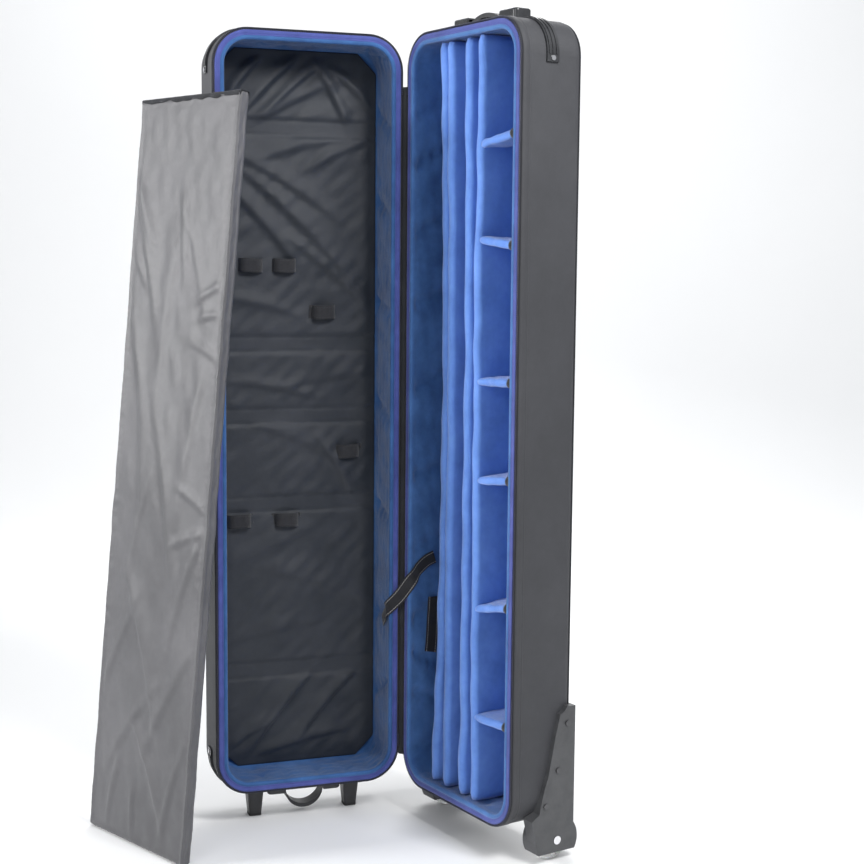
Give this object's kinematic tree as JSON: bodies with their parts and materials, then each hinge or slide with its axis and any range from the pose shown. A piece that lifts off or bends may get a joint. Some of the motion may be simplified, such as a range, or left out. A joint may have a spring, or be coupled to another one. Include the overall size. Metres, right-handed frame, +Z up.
{
  "type": "telescope carry case",
  "caption": "Tall wheeled padded case standing open, with a zip-round lid, blue lined compartments and a loose padded panel leaning on the lid.",
  "frame": {"origin": "centre of the footprint of the open case with its loose panel, on the floor it stands on", "axes": "+Z up along the case's length, +Y from the open face of the base half to its back, +X from the hinge side of the base half to its outer side"},
  "size_m": [0.5895, 0.6304, 1.3785],
  "materials": {
    "cover_cloth": "smooth coated cloth, satin",
    "case_board": "extruded board, matt",
    "lining_cloth": "brushed loop cloth",
    "rim_cloth": "smooth woven binding",
    "zip_teeth": "moulded coil",
    "divider_cloth": "brushed loop cloth",
    "hook_tape": "hook tape",
    "housing_plastic": "fine moulded grain",
    "bright_steel": "plated",
    "strip_plastic": "ribbed, glossy",
    "cap_plastic": "glossy",
    "grip_rubber": "soft, satin",
    "wheel_urethane": "clear cast urethane",
    "hub_plastic": "moulded",
    "back_cloth": "woven nylon, slight sheen",
    "webbing_black": "woven webbing",
    "foot_plastic": "moulded",
    "pad_rubber": "matt",
    "panel_cloth": "coated nylon, slight sheen",
    "panel_core": "board"
  },
  "bodies": {
    "base": {"base_cover": "cover_cloth", "base_board": "case_board", "base_lining": "lining_cloth", "base_rim_binding": "rim_cloth", "base_zip_chain": "zip_teeth", "hinge_spine": "cover_cloth", "long_divider_1": "divider_cloth", "long_divider_2": "divider_cloth", "long_divider_3": "divider_cloth", "long_divider_4": "divider_cloth", "cross_divider_1": "divider_cloth", "cross_divider_2": "divider_cloth", "cross_divider_3": "divider_cloth", "cross_divider_4": "divider_cloth", "cross_divider_5": "divider_cloth", "cross_divider_6": "divider_cloth", "hook_tabs": "hook_tape", "wheel_housing_outer": "housing_plastic", "wheel_housing_hinge": "housing_plastic", "housing_screws": "bright_steel", "wheel_axles": "bright_steel", "base_corner_strips": "strip_plastic", "base_strip_rivets": "bright_steel", "top_handle_caps": "cap_plastic", "top_handle_cap_studs": "bright_steel", "zip_sliders": "bright_steel", "stay_strap": "webbing_black", "loose_strap": "webbing_black"},
    "lid": {"lid_cover": "cover_cloth", "lid_board": "case_board", "lid_lining": "lining_cloth", "lid_rim_binding": "rim_cloth", "lid_zip_chain": "zip_teeth", "hinge_leaf": "cover_cloth", "lid_corner_strips": "strip_plastic", "lid_strip_rivets": "bright_steel", "lid_feet": "foot_plastic", "foot_pads": "pad_rubber", "foot_screws": "bright_steel", "webbing_loops": "webbing_black", "lid_back_lining": "back_cloth", "bottom_handle_caps": "cap_plastic", "bottom_handle_cap_studs": "bright_steel", "side_handle_caps": "cap_plastic", "side_handle_cap_studs": "bright_steel"},
    "outer_wheel": {"outer_wheel_tyre": "wheel_urethane", "outer_wheel_hub": "hub_plastic", "outer_wheel_bearings": "bright_steel"},
    "hinge_wheel": {"hinge_wheel_tyre": "wheel_urethane", "hinge_wheel_hub": "hub_plastic", "hinge_wheel_bearings": "bright_steel"},
    "top_grip": {"top_handle_grip": "grip_rubber"},
    "bottom_grip": {"bottom_handle_grip": "grip_rubber"},
    "side_grip": {"side_handle_grip": "grip_rubber"},
    "pull_top": {"zip_pull_top": "bright_steel"},
    "pull_bottom": {"zip_pull_bottom": "bright_steel"},
    "panel": {"panel_cover": "panel_cloth", "panel_board": "panel_core"}
  },
  "joints": [
    {"name": "lid_hinge", "type": "hinge", "parent": "base", "child": "lid", "pos_m": [-0.04745, 0.18321, 0.707], "axis": [0, 0, 1], "range_deg": [0, 104], "deforming": ["stay_strap"]},
    {"name": "outer_wheel_spin", "type": "hinge", "parent": "base", "child": "outer_wheel", "pos_m": [0.26955, 0.27321, 0.0365], "axis": [1, 0, 0], "continuous": true},
    {"name": "hinge_wheel_spin", "type": "hinge", "parent": "base", "child": "hinge_wheel", "pos_m": [-0.03045, 0.27321, 0.0365], "axis": [1, 0, 0], "continuous": true},
    {"name": "top_handle_lift", "type": "slide", "parent": "base", "child": "top_grip", "axis": [0, 0, 1], "range_m": [0, 0.008]},
    {"name": "bottom_handle_lift", "type": "slide", "parent": "lid", "child": "bottom_grip", "axis": [0, 0, 1], "range_m": [0, 0.008]},
    {"name": "side_handle_pull", "type": "slide", "parent": "lid", "child": "side_grip", "axis": [-0.2419, -0.9703, 0], "range_m": [0, 0.008]},
    {"name": "zip_pull_top_swing", "type": "hinge", "parent": "base", "child": "pull_top", "pos_m": [-0.05225, 0.19171, 1.26], "axis": [0, 1, 0], "range_deg": [0, 160]},
    {"name": "zip_pull_bottom_swing", "type": "hinge", "parent": "base", "child": "pull_bottom", "pos_m": [-0.05225, 0.19171, 0.141], "axis": [0, 1, 0], "range_deg": [0, 160]},
    {"name": "panel_move_away", "type": "slide", "parent": "base", "child": "panel", "axis": [0.213, -0.977, 0], "range_m": [0, 0.454]}
  ],
  "couplings": [
    {"joint": "panel_move_away", "follows": "lid_hinge", "m_per_rad": 0.25}
  ]
}
